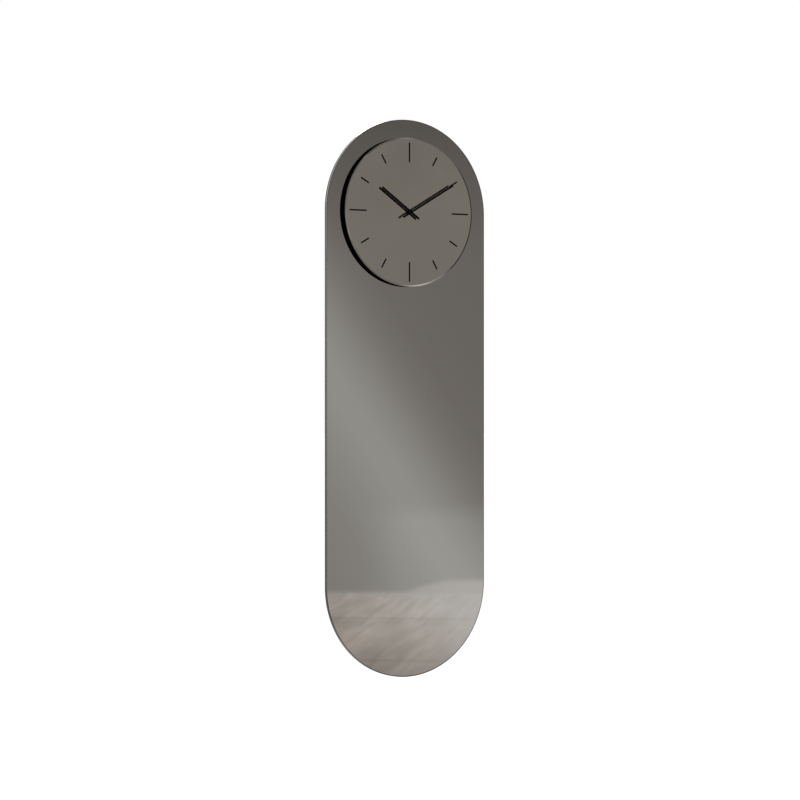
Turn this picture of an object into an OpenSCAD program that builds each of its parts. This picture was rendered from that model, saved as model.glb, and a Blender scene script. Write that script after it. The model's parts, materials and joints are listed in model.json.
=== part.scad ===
// Tall wall clock: a smoked mirror panel with two round ends, and a round mirror dial that
// stands proud of it near the top. +Z is up, +X is right seen from the front, and the front
// faces -Y. The origin is on the dial's axis, in the plane of the hanger plates' rear faces.

/* [Panel] */
// Width of the mirror panel
panel_w = 400; // [380:5:440]
// Height of the mirror panel
panel_h = 1200; // [1000:10:1400]
// Thickness of the mirror glass
mirror_t = 6; // [5:0.5:8]
// Width of the panel's ground front edge
mirror_arris = 1; // [0.5:0.1:2]
// Radius of the hole in the glass behind the dial
mirror_hole_r = 70; // [64:1:74]

/* [Back board] */
// Thickness of the board behind the glass
board_t = 12; // [11:0.5:15]
// Margin of the glass beyond the board, all round
board_inset = 25; // [15:1:40]
// Radius of the hole in the board for the movement
board_hole_r = 75; // [75:1:85]
// Thickness of the strips that bond the glass to the board
tape_t = 1; // [0.5:0.1:2]
// Height of each bonding strip
tape_h = 20; // [10:1:30]
// Length of each bonding strip
tape_l = 240; // [160:5:260]
// Number of bonding strips below the dial
tape_count = 5; // [3:1:7]

/* [Hangers] */
// Distance between the two keyhole plates
hanger_spacing = 260; // [220:5:300]
// Width of a keyhole plate
hanger_w = 20; // [18:1:26]
// Height of a keyhole plate
hanger_h = 52; // [48:1:60]
// Thickness of a keyhole plate
hanger_t = 1.5; // [1:0.1:2]
// Radius of the round hole that a wall screw's head passes
keyhole_r = 4.8; // [4.2:0.1:5.5]
// Half the width of the slot above that hole
keyslot_r = 2.4; // [2:0.1:2.8]
// Rise of the slot above the round hole's centre
keyslot_rise = 12; // [10:0.5:14]
// Depth of the board's pocket behind the plate
pocket_depth = 7; // [5:0.5:8]
// Radius of a hanger screw's shank
screw_r = 1.5; // [1.2:0.1:1.8]
// Radius of a hanger screw's head
screw_head_r = 3.2; // [2.8:0.1:3.6]
// Length of a hanger screw
screw_l = 9.5; // [8:0.5:10]

/* [Wall bumpers] */
// Radius of a rubber bumper
bumper_r = 7; // [5:0.5:10]
// Thickness of a rubber bumper
bumper_t = 3; // [2:0.5:5]
// Distance between the two bumpers of a pair
bumper_spacing = 220; // [160:10:240]

/* [Dial] */
// Diameter of the dial glass
dial_d = 320; // [310:2:340]
// Thickness of the dial glass
dial_t = 4; // [3:0.5:5]
// Height of the dial's front face above the panel's front face
dial_proud = 12; // [11.5:0.5:16]
// Radius of the dial's centre hole
dial_hole_r = 5; // [4.6:0.1:6]
// Width of the dial's bevelled edge
bevel_w = 3; // [2:0.5:5]
// Depth of the dial's bevelled edge
bevel_depth = 1; // [0.5:0.1:2]
// Thickness of the bonding rings in front of and behind the drum
ring_tape_t = 1; // [0.5:0.1:1]

/* [Drum] */
// Margin of the dial glass beyond the drum
drum_inset = 7; // [4:0.5:12]
// Thickness of the drum's wall and floor
drum_wall = 2; // [1.5:0.1:2.5]
// Width of the drum's front rim
rim_w = 12; // [8:1:20]
// Thickness of the drum's front rim
rim_t = 1.5; // [1:0.1:2]

/* [Markers] */
// Radius of the circle that runs through the middle of every marker
marker_mid_r = 128.6; // [120:0.1:135]
// Length of the markers at 12, 3, 6 and 9
quarter_l = 42; // [30:1:50]
// Length of the other markers
marker_l = 22; // [15:1:30]
// Width of every marker
marker_w = 3.2; // [2:0.1:5]
// Thickness of every marker
marker_t = 0.4; // [0.3:0.1:1]

/* [Hands] */
// Length of the hour hand from its axis to its tip
hour_hand_l = 88; // [70:1:100]
// Length of the minute hand from its axis to its tip
minute_hand_l = 121.5; // [105:0.5:130]
// Length of each hand's tail
tail_l = 25; // [15:1:35]
// Width of the hour hand
hour_hand_w = 4.8; // [4:0.1:7]
// Width of the minute hand
minute_hand_w = 4.2; // [3:0.1:6]
// Thickness of each hand
hand_t = 0.6; // [0.4:0.1:1]
// Height of the hour hand's rear face above the dial
hour_hand_lift = 6; // [3:0.5:8]
// Space between the two hands
hand_gap = 2.8; // [2:0.1:5]
// Angle of the hour hand, clockwise from 12
hour_angle = 305; // [0:1:359]
// Angle of the minute hand, clockwise from 12
minute_angle = 60; // [0:1:359]

/* [Movement] */
// Thickness of the case's walls
case_wall = 1.2; // [1:0.1:1.3]
// Radius of the threaded bushing
bushing_r = 4; // [3.9:0.1:4.4]
// Thickness of the fixing nut
nut_t = 2.5; // [2:0.1:2.5]
// Distance across the nut's flats
nut_flats = 12; // [11:0.5:14]
// Thickness of the rubber washer
washer_t = 0.6; // [0.4:0.1:0.6]
// Outer radius of the rubber washer
washer_r = 9; // [8:0.5:11]
// Radius of the setting knob
knob_r = 4.5; // [3.5:0.1:5.5]
// Thickness of the setting knob
knob_t = 2.9; // [2:0.1:3]

/* [Gear train] */
// Tooth size of the cannon pinion and minute wheel: pitch diameter over teeth
minute_tooth = 0.35; // [0.34:0.005:0.36]
// Tooth size of the centre wheel and the fifth wheel
train_tooth = 0.2; // [0.19:0.005:0.2]
// Play between meshed teeth, along the pitch circle
tooth_play = 0.12; // [0.1:0.01:0.16]
// Thickness of the wheels in the going train
wheel_t = 0.85; // [0.6:0.05:0.9]
// Thickness of the hour wheel and minute wheel
motion_wheel_t = 1; // [0.8:0.05:1.1]
// Thickness of the middle plate
gear_plate_t = 1; // [0.8:0.05:1]
// Space between one wheel and the next
layer_gap = 0.3; // [0.25:0.01:0.32]
// Radial clearance of every pivot and pipe
pivot_play = 0.06; // [0.04:0.01:0.08]

/* [Battery] */
// Diameter of the battery
battery_d = 14.5; // [14:0.1:14.5]
// Length of the battery with its button
battery_l = 50.5; // [49:0.5:50.5]
// Space round the battery
battery_play = 0.3; // [0.2:0.05:0.3]

/* [Hidden] */
$fn = 96;

// A cut runs this far past the face it opens
past = 1;
// Half a turn, in degrees
half_turn = 180;
// Radial clearance between pieces of one body that are fitted together
seat_play = 0.05;
// The same for what is pressed on an arbor or a pipe
press_play = 0.03;

// Arbors and pipes, from the inside out
pivot_r = 0.35;
arbor_r = 0.45;
seconds_arbor_r = 0.5;
centre_pipe_bore = seconds_arbor_r + pivot_play;
centre_pipe_r = 1.1;
centre_pipe_l = 8;
cannon_bore = centre_pipe_r + pivot_play;
minute_pipe_r = 1.75;
cannon_neck_r = 1.55;
hour_pipe_bore = minute_pipe_r + pivot_play;
hour_pipe_r = 2.5;
bushing_bore = hour_pipe_r + pivot_play;
minute_arbor_r = 0.8;
boss_r = 1.2;
boss_l = 1.6;
pivot_end_gap = 0.3;
pivot_depth = 0.6;

// Teeth of each wheel and pinion, which set how fast each one turns
motion_pinion_teeth = 12;
minute_wheel_teeth = 36;
hour_wheel_teeth = 48;
train_pinion_teeth = 8;
fifth_pinion_teeth = 10;
centre_wheel_teeth = 64;
slow_wheel_teeth = 60;
fifth_wheel_teeth = 40;

// The shape of a tooth: heights as shares of the tooth size, widths as shares of the width
// at the pitch circle
root_depth = 1.25;
shoulder_height = 0.6;
shoulder_width = 0.72;
tip_width = 0.45;
wheel_tip_height = 1;
wheel_foot_width = 1.3;
pinion_tip_height = 0.7;
pinion_foot_width = 1;

// The threaded bushing
bushing_lip = 1;
bushing_reach = 1.6;
thread_pitch = 0.75;
thread_depth = 0.4;

// The stack of layers, from the wall at the rear to the hands at the front
mirror_rear = -board_t - tape_t;
mirror_front = mirror_rear - mirror_t;
drum_rear = mirror_front - ring_tape_t;
drum_floor_front = drum_rear - drum_wall;
dial_front = mirror_front - dial_proud;
dial_rear = dial_front + dial_t;
drum_front = dial_rear + ring_tape_t;
washer_front = drum_floor_front - washer_t;
nut_front = washer_front - nut_t;
bushing_front = dial_rear - bushing_reach;
hour_hand_rear = dial_front - hour_hand_lift;
hour_hand_front = hour_hand_rear - hand_t;
minute_hand_rear = hour_hand_front - hand_gap;
minute_hand_front = minute_hand_rear - hand_t;

// The panel and what lies behind it
panel_r = panel_w / 2;
panel_drop = panel_h - panel_w;
board_r = panel_r - board_inset;
tape_margin = 10;
tape_inset = 100;
tape_top_z = panel_r - tape_inset;
tape_first_z = -100;
tape_last_z = -panel_drop - panel_r + tape_inset;
tape_step = (tape_last_z - tape_first_z) / (tape_count - 1);
hanger_corner_r = 3;
hanger_drop = 197;
hanger_low = board_r - hanger_drop;
hanger_screw_inset = 5;
rebate_play = 0.2;
pocket_margin = 2.2;
pocket_r = keyhole_r + pocket_margin;
cross_w = 0.7;
cross_l = 3.2;
cross_depth = 1;
bumper_edge = 0.8;
bumper_top_drop = 80;
bumper_top_z = board_r - bumper_top_drop;
bumper_low_rise = 70;
bumper_low_z = -panel_drop - board_r + bumper_low_rise;

// The dial, its drum and the rings that bond them
dial_r = dial_d / 2;
drum_r = dial_r - drum_inset;
drum_tape_margin = 4;
drum_tape_w = 30;
dial_tape_margin = 1;

// Hands: their hubs, the collets behind the hubs, and the cap
hub_margin = 1.4;
collet_wall = 0.9;
collet_l = 1.6;
pipe_end = 0.8;
cap_r = minute_pipe_r + 0.9;
cap_l = 1.8;
cap_edge = 0.5;

// The case, seen from the front: the battery lies across its foot, below the gear train's room
contact_t = 0.4;
contact_room = 1.15;
case_in = battery_l / 2 + contact_room + contact_t;
case_r = case_in + case_wall;
case_corner_r = 2;
case_front = drum_rear;
case_floor = case_front + case_wall;
train_low = -10.5;
train_high = 26.8;
case_high = train_high + case_wall;
bay_high = train_low - case_wall;
bay_low = bay_high - battery_d - 2 * battery_play;
case_low = bay_low - case_wall;
battery_z = (bay_low + bay_high) / 2;
battery_y = case_floor + battery_play + battery_d / 2;
notch_half = 9;
post_r = 1.4;
peg_r = 0.7;
peg_play = 0.05;
peg_end = 0.2;

// The cover's rim, which fits inside the case, and its two clips
cover_rim_t = 0.8;
rim_depth = 1;
rim_play = 0.1;
clip_reach = 0.4;
clip_h = 0.6;
clip_w = 5;
clip_z = 10;

// The layers inside the case, from the front
hour_wheel_front = case_floor + layer_gap;
cannon_front = hour_wheel_front + motion_wheel_t + layer_gap;
gear_plate_front = cannon_front + motion_wheel_t + layer_gap;
gear_plate_rear = gear_plate_front + gear_plate_t;
centre_wheel_front = gear_plate_rear + layer_gap;
third_wheel_front = centre_wheel_front + wheel_t + layer_gap;
fourth_wheel_front = third_wheel_front + wheel_t + layer_gap;
fifth_wheel_front = fourth_wheel_front + wheel_t + layer_gap;
magnet_front = fifth_wheel_front + wheel_t + layer_gap;
magnet_t = 1.6;
stator_t = 0.8;
core_t = 0.8;
stator_front = magnet_front + (magnet_t - stator_t) / 2;
core_front = stator_front + stator_t;
coil_y = core_front + core_t / 2;
coil_flange = 5.8;
coil_rear = coil_y + coil_flange / 2;

// The case is as deep as the coil or the battery needs
case_rear = max(coil_rear + layer_gap + case_wall, case_floor + battery_play + battery_d);
case_d = case_rear - case_front;
cover_in = case_rear - case_wall;
circuit_t = 0.8;
circuit_front = cover_in - rim_depth - layer_gap - circuit_t;

// The setting knob
knob_front = case_rear + layer_gap;
knob_face_t = 0.6;
knob_bore_l = knob_t - knob_face_t;
knob_grooves = 20;
knob_groove_r = 0.4;

// The fourth wheel's teeth are larger by this much, to clear the arbors beside its mesh
fourth_spread = 1.045;

// Distances between meshed arbors. The two pairs on the minute arbor share one distance, and so
// do the two pairs on the third arbor, so the second tooth size of each follows from the first
motion_distance = minute_tooth * (motion_pinion_teeth + minute_wheel_teeth) / 2;
hour_tooth = 2 * motion_distance / (motion_pinion_teeth + hour_wheel_teeth);
third_distance = train_tooth * (train_pinion_teeth + centre_wheel_teeth) / 2;
third_tooth = 2 * third_distance / (train_pinion_teeth + slow_wheel_teeth);
fourth_tooth = train_tooth * fourth_spread;
fifth_distance = fourth_tooth * (fifth_pinion_teeth + slow_wheel_teeth) / 2;
rotor_distance = train_tooth * (train_pinion_teeth + fifth_wheel_teeth) / 2;

// Directions from the centre to each arbor, counter-clockwise from +X seen from the front
minute_direction = 150;
third_direction = 15;
fifth_direction = 90;
minute_place = ring_point(motion_distance, minute_direction);
third_place = ring_point(third_distance, third_direction);
fifth_place = ring_point(fifth_distance, fifth_direction);
rotor_place = fifth_place + ring_point(rotor_distance, fifth_direction);

// The middle plate and its four posts
gear_plate_left = -14.5;
gear_plate_right = 13;
gear_plate_low = -6.5;
gear_plate_high = 15.2;
gear_plate_corner_r = 2;
gear_plate_posts = [[-12.3, -4.3], [10.8, -4.3], [-12.3, 13], [10.8, 13]];

// The stepping motor
rotor_hole_r = 2.8;
magnet_r = 2.3;
stator_half = 13;
stator_leg_w = 4;
stator_leg_x = stator_half - stator_leg_w / 2;
stator_bar_h = 6.8;
core_z = 20;
core_h = 3;
coil_half = 8;
coil_flange_t = 0.8;
coil_tube_wall = 0.6;
coil_r = 2.6;

// The circuit board and what is on it
circuit_low = train_low + layer_gap;
circuit_h = 7.2;
circuit_high = circuit_low + circuit_h;
circuit_mid = (circuit_low + circuit_high) / 2;
circuit_margin = 0.6;
circuit_half = case_in - circuit_margin;
circuit_post_x = 18;
crystal_x = -13;
crystal_l = 6;
crystal_r = 1;
chip_x = 9;
chip_r = 2.6;
chip_h = 1;

// The battery and its contacts
contact_w = 6.4;
contact_slot = 0.2;
contact_x = case_in - contact_t;
contact_drop = 5;
contact_low = battery_z - contact_drop;
contact_bow_h = 3.5;
bow_flat = 0.8;
contact_gap = 0.25;
contact_foot = 3;
contact_foot_h = 3;
contact_top = circuit_low + contact_foot_h;
can_edge = 0.7;
button_l = 1;
button_r = 2.75;
button_edge = 0.3;

function ring_point(radius, angle) = [radius * cos(angle), radius * sin(angle)];

// The corners of one gear tooth, as pairs of radius and angle from the tooth's middle
function tooth_corners(teeth, size, tip_height, foot_width) =
    let (
        pitch = teeth * size / 2,
        half = 90 / teeth - tooth_play / 4 / pitch * half_turn / PI,
        side = [
            [pitch - root_depth * size, half * foot_width],
            [pitch, half],
            [pitch + shoulder_height * tip_height * size, half * shoulder_width],
            [pitch + tip_height * size, half * tip_width]
        ]
    )
    concat(
        [for (corner = side) [corner[0], -corner[1]]],
        [for (i = [len(side) - 1 : -1 : 0]) side[i]]
    );

// A toothed outline whose first tooth points along `turn`
module toothed(teeth, size, tip_height, foot_width, turn) {
    corners = tooth_corners(teeth, size, tip_height, foot_width);
    polygon([
        for (tooth = [0 : teeth - 1])
            for (corner = corners)
                ring_point(corner[0], turn + 360 / teeth * tooth + corner[1])
    ]);
}

module wheel_outline(teeth, size, turn) {
    toothed(teeth, size, wheel_tip_height, wheel_foot_width, turn);
}

module pinion_outline(teeth, size, turn) {
    toothed(teeth, size, pinion_tip_height, pinion_foot_width, turn);
}

// A flat outline in X and Z, made `depth` thick from the plane y = front towards the wall
module layer(front, depth) {
    translate([0, front + depth, 0]) rotate([90, 0, 0]) linear_extrude(depth) children();
}

module disc(front, depth, radius) {
    layer(front, depth) circle(radius);
}

module ring(front, depth, outer, inner) {
    layer(front, depth) difference() {
        circle(outer);
        circle(inner);
    }
}

// A solid of revolution about the Y axis, from corners given as radius and y
module turned(corners) {
    rotate([90, 0, 0]) rotate_extrude() polygon([for (corner = corners) [corner[0], -corner[1]]]);
}

// A box between two limits on each axis
module block(x, y, z) {
    translate([x[0], y[0], z[0]]) cube([x[1] - x[0], y[1] - y[0], z[1] - z[0]]);
}

// Moves a piece that is drawn round the Y axis to a place in X and Z
module at(place) {
    translate([place[0], 0, place[1]]) children();
}

// A hand's angle, clockwise from 12
module clockwise(angle) {
    rotate([0, angle, 0]) children();
}

// An outline with two round ends, one round the origin and one `drop` below it
module stadium(radius, drop) {
    circle(radius);
    translate([0, -drop]) circle(radius);
    translate([-radius, -drop]) square([2 * radius, drop]);
}

module rounded_square(low, high, radius) {
    for (x = [low[0] + radius, high[0] - radius])
        for (y = [low[1] + radius, high[1] - radius])
            translate([x, y]) circle(radius);
    translate([low[0] + radius, low[1]]) square([high[0] - low[0] - 2 * radius, high[1] - low[1]]);
    translate([low[0], low[1] + radius]) square([high[0] - low[0], high[1] - low[1] - 2 * radius]);
}

// What grinding takes off the panel's front edge
module arris_cut() {
    corners = [
        [panel_r - mirror_arris - past, mirror_front - past],
        [panel_r + past, mirror_front - past],
        [panel_r + past, mirror_front + mirror_arris + past]
    ];
    for (end = [0, 1])
        translate([0, 0, -end * panel_drop])
            rotate([90, 0, 0])
                rotate([0, 0, half_turn * end])
                    rotate_extrude(angle = half_turn)
                        polygon([for (corner = corners) [corner[0], -corner[1]]]);
    for (side = [-1, 1])
        translate([0, 0, -panel_drop])
            linear_extrude(panel_drop)
                polygon([for (corner = corners) [side * corner[0], corner[1]]]);
}

module mirror_panel() {
    color("#5c5a55")
        difference() {
            layer(mirror_front, mirror_t)
                difference() {
                    stadium(panel_r, panel_drop);
                    circle(mirror_hole_r);
                }
            arris_cut();
        }
}

module tape_strip(z) {
    translate([-tape_l / 2, z - tape_h / 2]) square([tape_l, tape_h]);
}

module mirror_tapes() {
    color("#d8d6d0")
        layer(mirror_rear, tape_t)
            intersection() {
                stadium(board_r - tape_margin, panel_drop);
                union() {
                    tape_strip(tape_top_z);
                    for (i = [0 : tape_count - 1])
                        tape_strip(tape_first_z + i * tape_step);
                }
            }
}

// Runs its children at the place of each keyhole plate
module at_hangers() {
    for (side = [-1, 1])
        translate([side * hanger_spacing / 2, 0, 0]) children();
}

// Runs its children at the place of each screw in one plate
module at_hanger_screws() {
    for (z = [hanger_low + hanger_screw_inset, hanger_low + hanger_h - hanger_screw_inset])
        translate([0, 0, z]) children();
}

// A countersunk screw's outline, from its head at the origin towards the panel
module screw_shape(play) {
    turned([
        [0, 0],
        [screw_head_r + play, 0],
        [screw_r + play, -hanger_t],
        [screw_r + play, -screw_l + screw_r],
        [0, -screw_l - play]
    ]);
}

module hanger_outline(play) {
    rounded_square(
        [-hanger_w / 2 - play, hanger_low - play],
        [hanger_w / 2 + play, hanger_low + hanger_h + play],
        hanger_corner_r
    );
}

module back_board() {
    color("#1d1c1b")
        difference() {
            layer(-board_t, board_t)
                difference() {
                    stadium(board_r, panel_drop);
                    circle(board_hole_r);
                }
            at_hangers() {
                layer(-hanger_t, hanger_t + past) hanger_outline(rebate_play);
                layer(-hanger_t - pocket_depth, pocket_depth + past)
                    translate([0, keyslot_rise]) stadium(pocket_r, keyslot_rise);
                at_hanger_screws() screw_shape(seat_play);
            }
        }
}

module hanger_plates() {
    color("#b9b9b6")
        at_hangers()
            difference() {
                layer(-hanger_t, hanger_t) hanger_outline(0);
                disc(-hanger_t - past, hanger_t + 2 * past, keyhole_r);
                layer(-hanger_t - past, hanger_t + 2 * past)
                    translate([0, keyslot_rise]) stadium(keyslot_r, keyslot_rise);
                at_hanger_screws() screw_shape(seat_play);
            }
}

module hanger_screws() {
    color("#c9c8c2")
        at_hangers()
            at_hanger_screws()
                difference() {
                    screw_shape(0);
                    for (turn = [0, 90])
                        rotate([0, turn, 0])
                            block(
                                [-cross_l / 2, cross_l / 2],
                                [-cross_depth, past],
                                [-cross_w / 2, cross_w / 2]
                            );
                }
}

module bumpers() {
    color("#2a2a29")
        for (x = [-bumper_spacing / 2, bumper_spacing / 2])
            for (z = [bumper_top_z, bumper_low_z])
                at([x, z])
                    turned([
                        [0, 0],
                        [bumper_r, 0],
                        [bumper_r, bumper_t - bumper_edge],
                        [bumper_r - bumper_edge, bumper_t],
                        [0, bumper_t]
                    ]);
}

module drum_tape() {
    color("#26282a")
        ring(drum_rear, ring_tape_t, drum_r - drum_tape_margin, drum_r - drum_tape_margin - drum_tape_w);
}

module dial_drum() {
    color("#161513")
        turned([
            [bushing_r + seat_play, drum_floor_front],
            [drum_r - drum_wall, drum_floor_front],
            [drum_r - drum_wall, drum_front + rim_t],
            [drum_r - rim_w, drum_front + rim_t],
            [drum_r - rim_w, drum_front],
            [drum_r, drum_front],
            [drum_r, drum_rear],
            [bushing_r + seat_play, drum_rear]
        ]);
}

module dial_tape() {
    color("#26282a")
        ring(dial_rear, ring_tape_t, drum_r - dial_tape_margin, drum_r - rim_w + dial_tape_margin);
}

module dial_glass() {
    color("#6b6761")
        turned([
            [dial_hole_r, dial_front],
            [dial_r - bevel_w, dial_front],
            [dial_r, dial_front + bevel_depth],
            [dial_r, dial_rear],
            [dial_hole_r, dial_rear]
        ]);
}

// A bar that lies on the dial at one hour's place
module marker(hour, length) {
    layer(dial_front - marker_t, marker_t)
        rotate(-30 * hour)
            translate([-marker_w / 2, marker_mid_r - length / 2])
                square([marker_w, length]);
}

module quarter_markers() {
    color("#12110f")
        for (hour = [3 : 3 : 12])
            marker(hour, quarter_l);
}

module hour_markers() {
    color("#12110f")
        for (quarter = [0 : 3 : 9])
            for (step = [1, 2])
                marker(quarter + step, marker_l);
}

// A baton with a short tail and a round hub, and a collet behind it
module hand(front, length, width, hub_r, bore_r, collet_r) {
    layer(front, hand_t)
        difference() {
            union() {
                translate([-width / 2, -tail_l]) square([width, length + tail_l]);
                circle(hub_r);
            }
            circle(bore_r);
        }
    ring(front + hand_t, collet_l, collet_r, bore_r);
}

module hour_hand() {
    color("#12110f")
        clockwise(hour_angle)
            hand(hour_hand_front, hour_hand_l, hour_hand_w,
                hour_pipe_r + hub_margin, hour_pipe_r + press_play, hour_pipe_r + collet_wall);
}

module minute_hand() {
    color("#12110f")
        clockwise(minute_angle)
            hand(minute_hand_front, minute_hand_l, minute_hand_w,
                minute_pipe_r + hub_margin, minute_pipe_r + press_play, minute_pipe_r + collet_wall);
}

module minute_cap() {
    color("#12110f")
        turned([
            [0, minute_hand_front - cap_l],
            [cap_r - cap_edge, minute_hand_front - cap_l],
            [cap_r, minute_hand_front - cap_l + cap_edge],
            [cap_r, minute_hand_front],
            [minute_pipe_r + press_play, minute_hand_front],
            [minute_pipe_r + press_play, minute_hand_front - pipe_end],
            [0, minute_hand_front - pipe_end]
        ]);
}

// The outline of the movement's case, seen from the front
module case_outline() {
    rounded_square([-case_r, case_low], [case_r, case_high], case_corner_r);
}

// A post that rises from the case's floor, with a peg on its end for the piece it carries
module post(top, peg_length) {
    disc(case_floor, top - case_floor, post_r);
    disc(case_floor, top - case_floor + peg_length, peg_r);
}

module at_gear_plate_posts() {
    for (place = gear_plate_posts)
        at(place) children();
}

module at_stator_posts() {
    for (side = [-1, 1])
        at([side * stator_leg_x, core_z]) children();
}

module at_circuit_posts() {
    for (side = [-1, 1])
        at([side * circuit_post_x, circuit_mid]) children();
}

module movement_case() {
    color("#2b2c2d") {
        difference() {
            layer(case_front, case_d) case_outline();
            disc(case_front - past, case_wall + 2 * past, bushing_r + bushing_lip + seat_play);
            block([-case_in, case_in], [case_floor, case_rear + past], [bay_low, bay_high]);
            block([-case_in, case_in], [case_floor, case_rear + past], [train_low, train_high]);
            block([-case_r - past, case_r + past], [cover_in, case_rear + past], [bay_high, case_high + past]);
            block([-notch_half, notch_half], [battery_y, case_rear + past], [case_low - past, bay_low + past]);
            for (side = [-1, 1]) {
                block(
                    side > 0 ? [contact_x - contact_slot, case_in] : [-case_in, -contact_x + contact_slot],
                    [circuit_front - contact_w - contact_slot, cover_in + past],
                    [bay_high - past, train_low + past]
                );
                block(
                    side > 0 ? [case_in - past, case_in + clip_reach + seat_play]
                             : [-case_in - clip_reach - seat_play, -case_in + past],
                    [cover_in - rim_depth - seat_play, cover_in - rim_depth + clip_h + seat_play],
                    [clip_z - clip_w / 2 - seat_play, clip_z + clip_w / 2 + seat_play]
                );
            }
            at(minute_place) disc(case_floor - pivot_depth, pivot_depth + past, pivot_r + pivot_play);
        }
        at_gear_plate_posts() post(gear_plate_front, gear_plate_t + peg_end);
        at_stator_posts() post(stator_front, stator_t + core_t + peg_end);
        at_circuit_posts() post(circuit_front, circuit_t + peg_end);
    }
}

module movement_cover() {
    color("#2b2c2d")
        difference() {
            union() {
                layer(cover_in, case_wall)
                    intersection() {
                        case_outline();
                        translate([-case_r, bay_high]) square([2 * case_r, case_high - bay_high]);
                    }
                layer(cover_in - rim_depth, rim_depth)
                    difference() {
                        cover_rim_outline(0);
                        cover_rim_outline(cover_rim_t);
                    }
                for (side = [-1, 1])
                    block(
                        side > 0 ? [case_in - cover_rim_t, case_in + clip_reach]
                                 : [-case_in - clip_reach, -case_in + cover_rim_t],
                        [cover_in - rim_depth, cover_in - rim_depth + clip_h],
                        [clip_z - clip_w / 2, clip_z + clip_w / 2]
                    );
                for (place = [[0, 0], third_place, fifth_place, rotor_place])
                    at(place) disc(cover_in - boss_l, boss_l, boss_r);
            }
            for (place = [[0, 0], third_place, fifth_place, rotor_place])
                at(place)
                    disc(cover_in - boss_l - past, boss_l + past + pivot_depth, pivot_r + pivot_play);
            at(minute_place)
                disc(cover_in - past, case_wall + 2 * past, minute_arbor_r + pivot_play);
        }
}

// The cover's rim, which fits inside the case's walls
module cover_rim_outline(inset) {
    reach = case_in - rim_play - inset;
    low = train_low + rim_play + inset;
    high = train_high - rim_play - inset;
    translate([-reach, low]) square([2 * reach, high - low]);
}

module centre_bushing() {
    thread_l = case_front - bushing_front - thread_pitch;
    turns = floor(thread_l / thread_pitch);
    ridges = [
        for (turn = [0 : turns - 1])
            for (edge = [[thread_depth, 0], [0, thread_pitch / 2]])
                [bushing_r - edge[0], bushing_front + turn * thread_pitch + edge[1]]
    ];
    color("#b08d4a")
        turned(concat(
            [[bushing_bore, bushing_front]],
            ridges,
            [
                [bushing_r - thread_depth, bushing_front + turns * thread_pitch],
                [bushing_r, bushing_front + (turns + 0.5) * thread_pitch],
                [bushing_r, case_front],
                [bushing_r + bushing_lip, case_front],
                [bushing_r + bushing_lip, case_floor],
                [bushing_bore, case_floor]
            ]
        ));
}

module rubber_washer() {
    color("#202020") ring(washer_front, washer_t, washer_r, bushing_r + seat_play);
}

module fixing_nut() {
    color("#b08d4a")
        layer(nut_front, nut_t)
            difference() {
                circle(nut_flats / 2 / cos(30), $fn = 6);
                circle(bushing_r + seat_play);
            }
}

module gear_plate() {
    color("#c7c4b8")
        difference() {
            layer(gear_plate_front, gear_plate_t)
                rounded_square([gear_plate_left, gear_plate_low], [gear_plate_right, gear_plate_high],
                    gear_plate_corner_r);
            disc(gear_plate_front - past, gear_plate_t + 2 * past, centre_pipe_r + pivot_play);
            at(minute_place)
                disc(gear_plate_front - past, gear_plate_t + 2 * past, minute_arbor_r + pivot_play);
            for (place = [third_place, fifth_place, rotor_place])
                at(place)
                    disc(gear_plate_front - past, gear_plate_t + 2 * past, pivot_r + pivot_play);
            at_gear_plate_posts()
                disc(gear_plate_front - past, gear_plate_t + 2 * past, peg_r + peg_play);
        }
}

module stator() {
    color("#9a9a98")
        layer(stator_front, stator_t)
            difference() {
                union() {
                    translate([-stator_half, rotor_place[1] - stator_bar_h / 2])
                        square([2 * stator_half, stator_bar_h]);
                    for (x = [-stator_half, stator_half - stator_leg_w])
                        translate([x, rotor_place[1]])
                            square([stator_leg_w, core_z + core_h / 2 - rotor_place[1]]);
                }
                translate([0, rotor_place[1]]) circle(rotor_hole_r);
                for (side = [-1, 1])
                    translate([side * stator_leg_x, core_z]) circle(peg_r + peg_play);
            }
}

module coil_core() {
    color("#9a9a98")
        layer(core_front, core_t)
            difference() {
                translate([-stator_half, core_z - core_h / 2]) square([2 * stator_half, core_h]);
                for (side = [-1, 1])
                    translate([side * stator_leg_x, core_z]) circle(peg_r + peg_play);
            }
}

// A box round the coil's axis, as long as `x` says
module coil_box(x, half_y, half_z) {
    block(x, [coil_y - half_y, coil_y + half_y], [core_z - half_z, core_z + half_z]);
}

module coil_bobbin() {
    color("#e8e4d8")
        difference() {
            union() {
                coil_box(
                    [-coil_half, coil_half],
                    core_t / 2 + coil_tube_wall,
                    core_h / 2 + coil_tube_wall
                );
                for (x = [-coil_half, coil_half - coil_flange_t])
                    coil_box([x, x + coil_flange_t], coil_flange / 2, coil_flange / 2);
            }
            coil_box([-coil_half - past, coil_half + past], core_t / 2 + seat_play, core_h / 2 + seat_play);
        }
}

module coil_winding() {
    inner = coil_half - coil_flange_t - seat_play;
    color("#a8582c")
        difference() {
            translate([-inner, coil_y, core_z]) rotate([0, 90, 0]) cylinder(h = 2 * inner, r = coil_r);
            coil_box(
                [-coil_half, coil_half],
                core_t / 2 + coil_tube_wall + seat_play,
                core_h / 2 + coil_tube_wall + seat_play
            );
        }
}

module circuit_board() {
    color("#2f6b3c")
        difference() {
            layer(circuit_front, circuit_t)
                translate([-circuit_half, circuit_low])
                    square([2 * circuit_half, circuit_high - circuit_low]);
            at_circuit_posts()
                disc(circuit_front - past, circuit_t + 2 * past, peg_r + peg_play);
        }
}

module quartz_crystal() {
    color("#d0d2d4")
        translate([crystal_x, circuit_front - crystal_r, circuit_mid])
            rotate([0, 90, 0])
                cylinder(h = crystal_l, r = crystal_r);
}

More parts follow.
